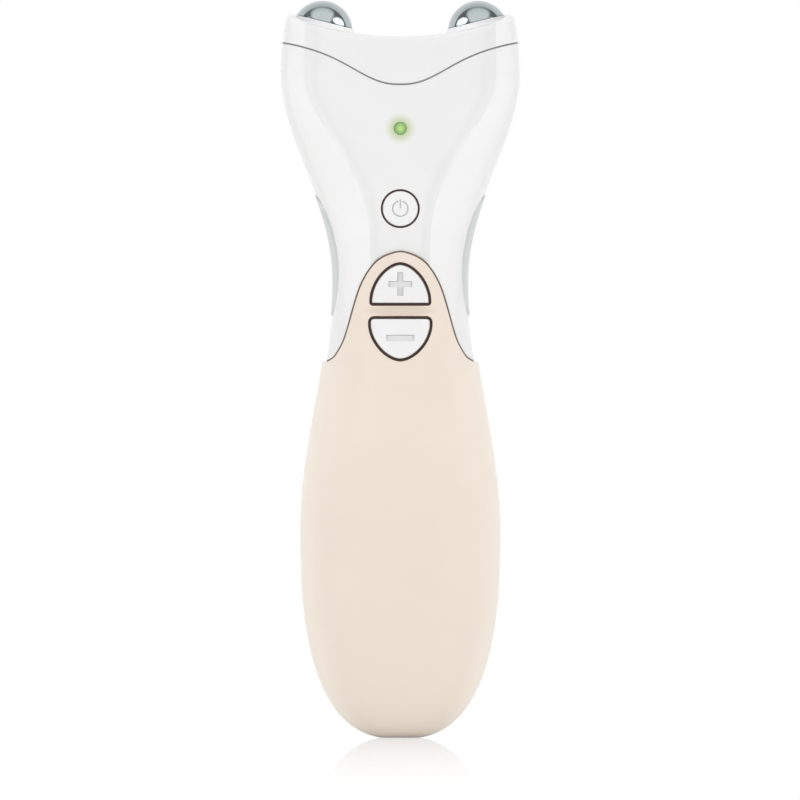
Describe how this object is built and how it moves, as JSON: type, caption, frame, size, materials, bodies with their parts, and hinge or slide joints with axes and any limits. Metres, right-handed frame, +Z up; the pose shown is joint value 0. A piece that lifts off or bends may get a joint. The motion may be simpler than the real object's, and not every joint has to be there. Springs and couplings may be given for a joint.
{
  "type": "facial toning device",
  "caption": "Handheld facial toning device: soft oval grip, white funnel-shaped head with metal dome electrodes in collars, push buttons and an indicator light.",
  "frame": {"origin": "centre of the flat spot on the butt, in the parting plane of the housings", "axes": "+Z up the handle towards the domes, +X to the right seen from the front, -Y out of the front face with the buttons"},
  "size_m": [0.0552, 0.0297, 0.1701],
  "materials": {
    "white_housing": "glossy white",
    "white_key": "satin white",
    "grip": "soft-touch beige",
    "inlay": "satin",
    "dome": "polished",
    "gasket": "matte grey",
    "grip_gasket": "matte brown",
    "seal": "matte dark brown",
    "lens": "glossy green",
    "led": "satin",
    "inner_plastic": "matt",
    "board": "solder mask green",
    "black_part": "matt black",
    "ferrite": "matt",
    "copper": "enamelled wire",
    "contact": "bright",
    "steel": "bright zinc",
    "capacitor": "sleeved",
    "cell": "glossy sleeve",
    "wire": "insulated wire"
  },
  "bodies": {
    "handle": {"head_cap": "white_housing", "front_shell": "white_housing", "rear_shell": "white_housing", "front_grip": "grip", "rear_grip": "grip", "left_side_inlay": "inlay", "right_side_inlay": "inlay", "cap_gasket": "gasket", "grip_gasket": "grip_gasket", "left_collar": "white_housing", "right_collar": "white_housing", "left_electrode": "dome", "right_electrode": "dome", "electrode_carrier": "inner_plastic", "electrode_tags": "contact", "electrode_nuts": "steel", "electrode_leads": "wire", "power_seal": "seal", "plus_seal": "seal", "minus_seal": "seal", "switch_bodies": "steel", "indicator_lens": "lens", "indicator_led": "led", "circuit_board": "board", "controller_chip": "black_part", "controller_pins": "steel", "transformer_core": "ferrite", "transformer_winding": "copper", "capacitor": "capacitor", "buzzer": "black_part", "battery_tray": "inner_plastic", "batteries": "cell", "battery_springs": "steel", "battery_plates": "steel", "battery_leads": "wire", "case_screws": "steel", "board_screws": "steel", "tray_screws": "steel"},
    "power_key": {"power_button": "white_key", "power_plunger": "black_part"},
    "plus_key": {"plus_button": "white_key", "plus_plunger": "black_part"},
    "minus_key": {"minus_button": "white_key", "minus_plunger": "black_part"},
    "cover": {"battery_cover": "grip"}
  },
  "joints": [
    {"name": "power_press", "type": "slide", "parent": "handle", "child": "power_key", "axis": [0, 1, 0], "range_m": [0, 0.00035], "stiffness_N_per_m": 800, "springref_m": -0.0005},
    {"name": "plus_press", "type": "slide", "parent": "handle", "child": "plus_key", "axis": [0, 1, 0], "range_m": [0, 0.00035], "stiffness_N_per_m": 800, "springref_m": -0.0005},
    {"name": "minus_press", "type": "slide", "parent": "handle", "child": "minus_key", "axis": [0, 1, 0], "range_m": [0, 0.00035], "stiffness_N_per_m": 800, "springref_m": -0.0005},
    {"name": "battery_cover_off", "type": "slide", "parent": "handle", "child": "cover", "axis": [0, 1, 0], "range_m": [0, 0.03]}
  ]
}
